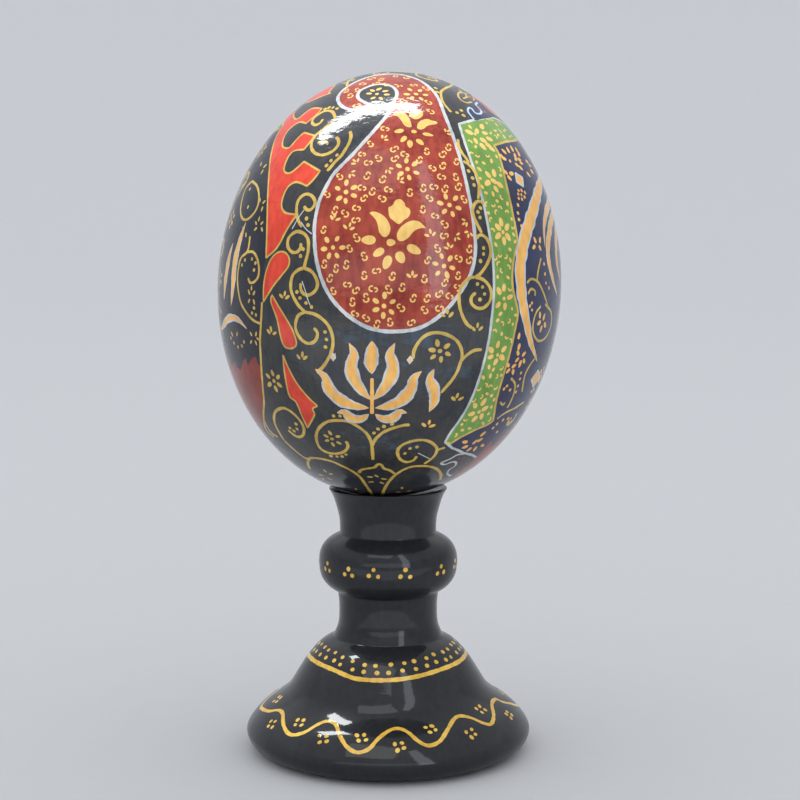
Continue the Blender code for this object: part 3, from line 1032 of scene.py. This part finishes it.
# Flowers follow one another down the green band, with dots and hooks between.
GREEN_FLOWERS = (
    ((475, 134), ((469, 132), (477, 131), (482, 126.5), (485, 133), (475.7, 141), (483.6, 140.4),
     (489.5, 139), (483, 146.5), (488.6, 145.4), (492, 149))),
    ((492, 180), ((488, 174.5), (494, 173), (487.5, 183), (494.5, 181.5), (500, 185), (496, 189))),
    ((503, 232), ((498, 227), (507, 227), (501, 222), (498, 236), (508, 237), (504, 241))),
    ((504, 298.5), ((504, 287.5), (499, 291), (510, 297), (498, 305), (505, 306.5))),
    ((497.5, 355), ((498, 344.5), (491, 350), (504, 349), (490.5, 357), (502, 357.5), (495.5, 362))),
    ((479, 412), ((475, 405.5), (483.5, 402), (471.5, 414), (485, 408.5), (474.5, 419), (481.5, 416.5))),
)  # fmt: skip
kept_clear = []
for centre, around in GREEN_FLOWERS:
    cluster(centre, around, 3.0, 2.2, "gold")
    dots((centre,), 1.5, "gold")
    kept_clear += [(place, 2.6) for place in egg.seen(around + (centre,))]
GREEN_BAND = GREEN_INNER_EDGE + GREEN_TOP_EDGE + PANEL_TOP_EDGE + GREEN_OUTER_EDGE + GREEN_FOOT_EDGE
for place in scatter(GREEN_BAND, kept_clear, gap=2.35, margin=1.1, tries=4500):
    if brush.uniform() < 0.45:
        egg.dab(place, brush.uniform(1.3, 2.1), 1.2, brush.uniform(0, 180), "gold")
    else:
        around = np.radians(np.linspace(40.0, 230.0, 8))
        hook = 0.75 * np.exp(1j * (around + brush.uniform(0, 6.28)))
        egg.line(egg.beside(place, hook), 0.65, "gold")

# Navy side panel, as (azimuth, height): a broad orange ribbon with pale-blue
# edges and three crescents within its bend.
RIBBON = (
    (97, 45.5), (91, 44.6), (85, 43.2), (76, 40.8), (67, 37.5), (58.6, 31.9), (53.2, 26.7), (49.2, 21.6),
    (46.9, 16.5), (45.7, 11.7), (45.9, 6.6), (47, 0.4), (50.2, -7.2), (54.8, -14.8), (62.9, -22),
)  # fmt: skip
CRESCENTS = (
    (((95, 38.6), (90, 37.4), (85, 35.4), (76, 33), (69, 30.3), (63.3, 25.1), (61.6, 18.3)), 2.2),
    (((96, 32.4), (90, 32), (85, 30.6), (76, 28.4), (69.7, 25.1), (64.5, 19.3), (64, 13.4), (67.2, 7),
     (72.7, 1.2)), 2.8),
    (((94, 26.4), (90, 27), (85, 26), (79, 23.4), (74.5, 19.2), (73, 12.8), (77.8, 6)), 2.8),
)  # fmt: skip
RIBBON_WIDTH, RIBBON_EDGE, CRESCENT_EDGE = 4.6, 0.7, 0.6
edged_leaf(swept(RIBBON), RIBBON_WIDTH, RIBBON_EDGE, "pale blue")
for path, width in CRESCENTS:
    edged_leaf(swept(path), width, CRESCENT_EDGE)

# Curls leave the panel's stem to both sides, each as its azimuth and height, its
# angle, size and side. Flowers and sprigs lie between, orange within the navy.
VINE_CURLS = (
    (99.4, 22.0, 105, 4.8, 1), (95.6, -1.0, 100, 5.0, 1), (97.2, -18.0, 112, 4.6, 1),
    (100.5, 35.0, 70, 4.2, -1), (96.5, 10.0, 75, 4.6, -1), (95.8, -9.0, 70, 4.0, -1),
)  # fmt: skip
for azimuth, height, angle, size, side in VINE_CURLS:
    curl(egg.at(azimuth, height), angle, size, side)
VINE_FLOWERS = (
    (83.0, 49.6), (91.0, 50.2), (86.0, 17.5), (86.5, -6.0), (80.0, -15.5), (87.5, -27.0), (73.5, -27.5),
    (76.0, -38.5), (105.0, 46.0), (106.5, 21.0), (104.0, 0.0),
)  # fmt: skip
VINE_SPRIGS = ((82.0, 1.0), (91.0, 9.5), (90.0, -17.0), (80.0, -24.0), (82.0, -34.5), (70.0, -34.0),
               (105.0, -13.0))  # fmt: skip
STEM_AZIMUTH = 95.0
for azimuth, height in VINE_FLOWERS:
    flower(egg.at(azimuth, height), 2.5, 6, "orange" if azimuth < STEM_AZIMUTH else "gold line", size=0.9)
for azimuth, height in VINE_SPRIGS:
    sprig(egg.at(azimuth, height), 90.0, "orange" if azimuth < STEM_AZIMUTH else "gold line")
SIDE_SCROLLS = (
    ((541, 258), (538, 272), (537, 283)),
    ((527, 283), (531, 279), (537, 281), (541, 287), (545, 297), (548, 307)),
    ((528, 294), (531, 289), (535, 291), (535, 296)),
    ((545, 304), (551, 312), (551, 325), (546, 337), (539, 341), (534, 335), (533, 325), (536, 313),
     (541, 306)),
    ((536, 357), (530, 365), (525, 375), (523, 385), (522, 392)),
    ((511, 378), (515, 384), (514, 393), (510, 403), (507, 408)),
    ((500, 402), (503, 405), (505, 402)),
    ((497, 419), (505, 413), (515, 408), (524, 402)),
)  # fmt: skip
SIDE_CURL = (64.0, -41.0)
for path in SIDE_SCROLLS:
    scroll(path, 0.9)
curl(egg.at(*SIDE_CURL), -60, 3.4, -1, 1.5, 0.9)
SIDE_DOTS = (
    (510, 161), (518.5, 190.5), (521.5, 190.5), (525, 192.5), (518.3, 194), (521.4, 194.8), (524.5, 197),
    (518.7, 198.4), (522, 199.2), (518, 205), (518, 213), (519, 219.5), (521.5, 226), (532, 303),
    (530, 306), (532, 310), (544, 264), (545, 274), (546, 283), (549, 288), (521, 373), (520, 379),
    (518, 386), (516, 392), (507, 386), (504, 389), (510, 390), (497, 424), (503, 420), (508, 418.5),
    (493, 428), (497, 432),
)  # fmt: skip
dots(SIDE_DOTS, 1.35, "orange")
SIDE_FLOWERS = (
    ((510, 161), ((500.7, 155.4), (504, 151.4), (508, 150), (512, 148.6), (516.5, 149.7), (504, 158.5),
     (515, 155.4), (519, 154), (516, 159), (519.5, 159.5), (517, 165), (521.4, 163), (521, 168),
     (527, 161.5), (530, 165.5), (532, 171.5), (528.6, 174.5))),
    ((537, 244), ((535, 240), (540, 240), (534, 247), (540, 248))),
    ((542, 322), ((540, 315), (544, 317), (539, 323), (545, 325), (541, 329))),
    ((521, 357), ((518, 353), (524, 354), (517, 360), (524, 361), (520, 364))),
    ((511, 368), ((508, 365), (514, 366), (508, 371), (513, 372))),
    ((474, 444), ((465, 442), (465, 447), (469, 449.5), (475, 449), (482.5, 445.5), (483, 434),
     (480, 440), (475, 442))),
    ((507.5, 175), ((505.5, 172), (509.5, 178), (511.5, 173.5))),
    ((519, 341), ((519, 336), (519, 347))),
)  # fmt: skip
for centre, around in SIDE_FLOWERS:
    cluster(centre, around, 2.6, 1.8, "orange")
LOZENGES = (
    ((515, 172.5), (522.6, 177.5), (523.6, 187), (516.4, 182)),
    ((538, 370), (540, 378), (533, 387), (531, 380)),
)
for corners in LOZENGES:
    form = egg.seen(corners)
    egg.fill(form, "orange")
    egg.line(np.append(form, form[:1]), 0.6, "pale blue")

# The panel's far part, which the front shows at its left edge, belongs to the
# next front: gold ovals, drooping scrolls and small flowers.
FAR_SCROLLS = (
    ((252, 181), (257, 186), (259, 195), (258, 205), (254, 213), (248, 219), (243, 219), (240.5, 212),
     (242, 200), (246, 188), (252, 181)),
    ((250, 236), (249, 245), (247, 252), (241, 258), (238.5, 268), (237.5, 280), (238.5, 292),
     (241, 303), (246, 312), (253, 320), (261, 324)),
    ((247, 252), (253, 252), (257, 258), (259, 268), (258, 277), (254, 282), (250, 282.5), (248, 278)),
    ((245, 184), (241, 190), (238, 196)),
)  # fmt: skip
for path in FAR_SCROLLS:
    scroll(path, 0.95)
FAR_DOTS = (
    (252, 259), (255.5, 263), (254, 270), (245, 260), (242, 265), (254, 308), (252, 313), (256, 315),
    (231, 338), (234, 343), (238, 347), (242, 346), (244, 342), (250, 189), (248, 207),
)  # fmt: skip
dots(FAR_DOTS, 1.35)
FAR_FLOWERS = (
    ((259, 226), ((256, 223), (262, 223), (255.5, 229), (262, 229.5), (259, 219))),
    ((251.5, 297), ((249, 292), (254, 293), (249, 301), (254, 302), (251.5, 288))),
    ((254, 338), ((251, 334), (256, 334), (258, 339), (251, 342), (256, 343))),
    ((263, 168), ((261, 164), (265, 166), (262, 172))),
    ((262, 204), ((260, 200), (264, 202), (262, 209))),
    ((245, 232), ((243, 229), (246, 235))),
    ((235, 338), ((232, 334), (237, 334))),
)  # fmt: skip
for centre, around in FAR_FLOWERS:
    cluster(centre, around, 2.0, 1.1)
FAR_LEAVES = (
    (((231, 306), (233, 285), (235, 262), (240, 240), (246, 222)), 2.6),
    (((224, 300), (225.5, 280), (229, 258), (233, 243)), 2.4),
    (((221, 330), (228, 319), (237, 319), (247, 329)), 1.6),
)
for path, width in FAR_LEAVES:
    edged_leaf(egg.seen(smooth(path)), width, 0.7)

# Low on the right, a pale curl and red dots lie beside the end of the red form.
PALE_CURL = (
    (464, 454), (457, 455), (450, 459), (441, 463), (445, 464.5), (452, 462), (456, 462.5), (455, 466),
    (449, 470), (447.5, 474), (451, 476),
)  # fmt: skip
RED_DOTS = (
    (459, 458.5), (464, 458), (468.5, 459.5), (461.5, 462.5), (466, 463), (459.5, 467), (463.5, 467),
    (457, 471),
)  # fmt: skip
scroll(PALE_CURL, 0.85, "pale")
dots(RED_DOTS, 1.0, "red")

# Over the green band lies a navy corner, with a short red strip and a pale curl.
NAVY_CORNER = (
    (467, 112), (470, 104), (475.7, 99.7), (481, 103), (486, 107.5), (491.4, 112.6), (493, 117),
    (482, 119), (474.3, 120),
)  # fmt: skip
CORNER_STRIP = ((478, 109), (481, 111.5), (486, 112))
CORNER_CURL = (
    (474.3, 119.7), (470, 114.5), (467.9, 111), (468.6, 107.8), (471.4, 108.3), (473.5, 111),
    (476, 113.3), (480.7, 113.5), (481, 110.5), (478, 107), (475.5, 104.5), (477.5, 102.5),
)  # fmt: skip
blot(NAVY_CORNER, "navy")
scroll(CORNER_STRIP, 0.9, "red")
scroll(CORNER_CURL, 0.85, "pale blue")

# Gold curls fill the black ground round the egg's top, as (azimuth, height),
# and a green disc with a gold flower closes it.
TOP_SCROLLS = (
    ((72, 73.8), (58, 73), (46, 72.2), (37.6, 71.3), (31, 70), (27.4, 67.6), (27, 65.6), (28.8, 63)),
    ((48, 76.9), (28.4, 76.45), (23.4, 75.64), (29.3, 74.8), (39, 74.25), (45, 74.3), (47.6, 75),
     (41.6, 75.3), (37.5, 75.1)),
    ((-78, 74.2), (-70, 73.6), (-62.3, 72.8), (-52.8, 71.1), (-45.6, 69.9)),
)  # fmt: skip
TOP_SPIRAL = (
    (472, 102), (466, 102.5), (460, 99), (458, 94), (461, 92), (465, 93.5), (466.5, 97), (463, 98.5),
)  # fmt: skip
for path in TOP_SCROLLS:
    egg.line(swept(path), 1.0, "gold line")
scroll(TOP_SPIRAL, 0.8)
TOP_CURLS = ((82.0, 76.75, -80, 4.4, -1), (122.0, 76.75, -100, 4.4, 1), (72.0, 73.8, 10, 3.6, -1),
             (-78.0, 74.2, 170, 3.4, 1))  # fmt: skip
for azimuth, height, angle, size, side in TOP_CURLS:
    curl(egg.at(azimuth, height), angle, size, side, 2.0)
TOP_FLOWERS = ((102.0, 75.4), (118.0, 72.4), (94.0, 72.4), (60.0, 70.4))
TOP_DOTS = ((457, 112.6), (461.4, 110.4), (463.6, 115.4), (435.7, 88), (434.5, 91.5), (437.5, 92))
for azimuth, height in TOP_FLOWERS:
    flower(egg.at(azimuth, height), 2.2, 5, "gold line", size=0.8)
dots(TOP_DOTS, 1.6)

# The disc is at the axis, so it and its flower are laid once. The heights are
# those of its edge, of the flower's eye, and of its petals and its dots.
DISC_EDGE, DISC_EYE, DISC_PETALS, DISC_DOTS = 76.88, 77.375, 77.22, 77.05
PETAL_COUNT = 8
disc = egg.at(np.arange(0.0, 361.0, 10.0), DISC_EDGE)
egg.repeats = 1
egg.fill(disc[:-1], "green")
egg.line(disc, 0.9, "gold line")
egg.fill(egg.at(np.arange(12) * 30.0, DISC_EYE), "gold")
for turn in np.arange(PETAL_COUNT) * 360.0 / PETAL_COUNT + 10.0:
    egg.dab(egg.at(turn, DISC_PETALS), 3.4, 2.2, 90.0, "gold")
    egg.dab(egg.at(turn + 180.0 / PETAL_COUNT, DISC_DOTS), 1.3, 1.1, 0.0, "gold")
egg.repeats = 2

# Scratches show the pale shell through the paint.
SCRATCHES = (
    ((302, 281), (305, 290), (308, 300), (310, 305)),
    ((304, 210), (299, 217), (292, 229)),
    ((301, 222), (306, 229), (312, 234)),
    ((418, 453), (424, 456), (430, 459)),
    ((335, 353), (335.3, 356), (335.5, 359)),
    ((334.5, 391), (335, 393), (335.5, 395)),
)
for path in SCRATCHES:
    scroll(path, 0.35, "pale")

# The egg's skin, cut along the marks.
EGG_GRID = 2.2
FIRST_ROW, BOTTOM_ROW, BOTTOM_SPACING = 0.9, 4.0, 1.0
last_row = egg.length[-1] - BOTTOM_ROW
last_ring = ring_points(egg, [last_row], spacing=BOTTOM_SPACING)
ground = ring_points(egg, np.arange(FIRST_ROW, last_row - EGG_GRID / 2, EGG_GRID), spacing=EGG_GRID)
egg_skin = painted_skin("painted_egg", egg, ground, egg_paints, last_ring)
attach(egg_skin, "root")
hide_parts("egg")


# Floor and backdrop
# One sheet of pale grey paper. It lies flat under the stand and curves up all
# round, far behind, so that it shows no horizon.
PAPER = (
    (0.0, 0.0), (300.0, 0.0), (1200.0, 0.0), (2200.0, 0.0), (2900.0, 150.0), (3350.0, 600.0),
    (3500.0, 1200.0), (3530.0, 1700.0),
)  # fmt: skip
PAPER_SIDES = 96
paper_outline = smooth(PAPER, parts=6)
paper_turn = np.exp(2j * np.pi * np.arange(PAPER_SIDES) / PAPER_SIDES)
paper_ring = np.stack((paper_turn.real, paper_turn.imag, np.ones(PAPER_SIDES)), axis=1)
paper_points = (paper_outline[1:, None, (0, 0, 1)] * paper_ring).reshape(-1, 3)
paper_points = np.concatenate((paper_points, [(0.0, 0.0, 0.0)]))
paper_faces = []
for side in range(PAPER_SIDES):
    beyond = (side + 1) % PAPER_SIDES
    paper_faces.append((len(paper_points) - 1, side, beyond))
    for row in range(0, len(paper_points) - 1 - PAPER_SIDES, PAPER_SIDES):
        paper_faces.append((row + side, row + side + PAPER_SIDES, row + beyond + PAPER_SIDES, row + beyond))
paper_mesh = bpy.data.meshes.new("paper")
paper_mesh.from_pydata(paper_points * MM, [], paper_faces)
paper_mesh.shade_smooth()
paper = bpy.data.objects.new("paper", paper_mesh)
bpy.context.collection.objects.link(paper)
paper_paint = brushed_paint(
    "paper", (0.836, 0.848, 0.868), (0.846, 0.858, 0.878), (0.85, 0.95), (1, 1, 1), relief=0.02, varnish=0.0
)
paper_mesh.materials.append(paper_paint)


# Light
# Soft white light comes from everywhere. A long tube hangs above and a little
# behind the egg. Soft panels stand in front: a high one, a tall narrow one on
# the right and a low faint one, and another lies on the floor. They light the
# object only, so that the paper keeps one even tone.
SURROUNDINGS_COLOUR = (0.95, 0.97, 1.0, 1.0)
SURROUNDINGS_STRENGTH = 0.795
world = bpy.data.worlds.new("soft_light")
world.use_nodes = True
surroundings = world.node_tree.nodes["Background"]
surroundings.inputs["Color"].default_value = SURROUNDINGS_COLOUR
surroundings.inputs["Strength"].default_value = SURROUNDINGS_STRENGTH
bpy.context.scene.world = world

# Name, place and aimed point in mm, width and height in m, power in W, colour.
LIGHTS = (
    ("tube", (-330.0, 215.0, 1500.0), (-330.0, 215.0, 0.0), 1.25, 0.25, 28.0, (0.93, 0.97, 1.0)),
    ("high_panel", (-280.0, -800.0, 1450.0), (0.0, 0.0, 120.0), 0.95, 0.62, 3.3, (1.0, 0.98, 0.96)),
    ("tall_panel", (450.0, -780.0, 850.0), (0.0, 0.0, 850.0), 0.20, 1.50, 3.0, (0.82, 0.91, 1.0)),
    ("low_panel", (-60.0, -1000.0, 330.0), (0.0, 0.0, 170.0), 1.60, 0.30, 1.5, (0.90, 0.95, 1.0)),
    ("floor_panel", (0.0, -430.0, 5.0), (0.0, -430.0, 1000.0), 1.60, 0.56, 1.7, (0.88, 0.94, 1.0)),
)
lit = bpy.data.collections.new("lit")
for skin in (stand_skin, egg_skin):
    lit.objects.link(skin)
for name, place, aim, width, height, power, colour in LIGHTS:
    light = bpy.data.lights.new(name, "AREA")
    light.shape = "RECTANGLE"
    light.size = width
    light.size_y = height
    light.energy = power
    light.color = colour
    lamp = bpy.data.objects.new(name, light)
    bpy.context.collection.objects.link(lamp)
    lamp.location = Vector(place) * MM
    lamp.rotation_euler = (Vector(aim) - Vector(place)).to_track_quat("-Z", "Y").to_euler()
    lamp.light_linking.receiver_collection = lit
    lamp.visible_camera = False

bpy.context.scene.view_settings.view_transform = "Standard"
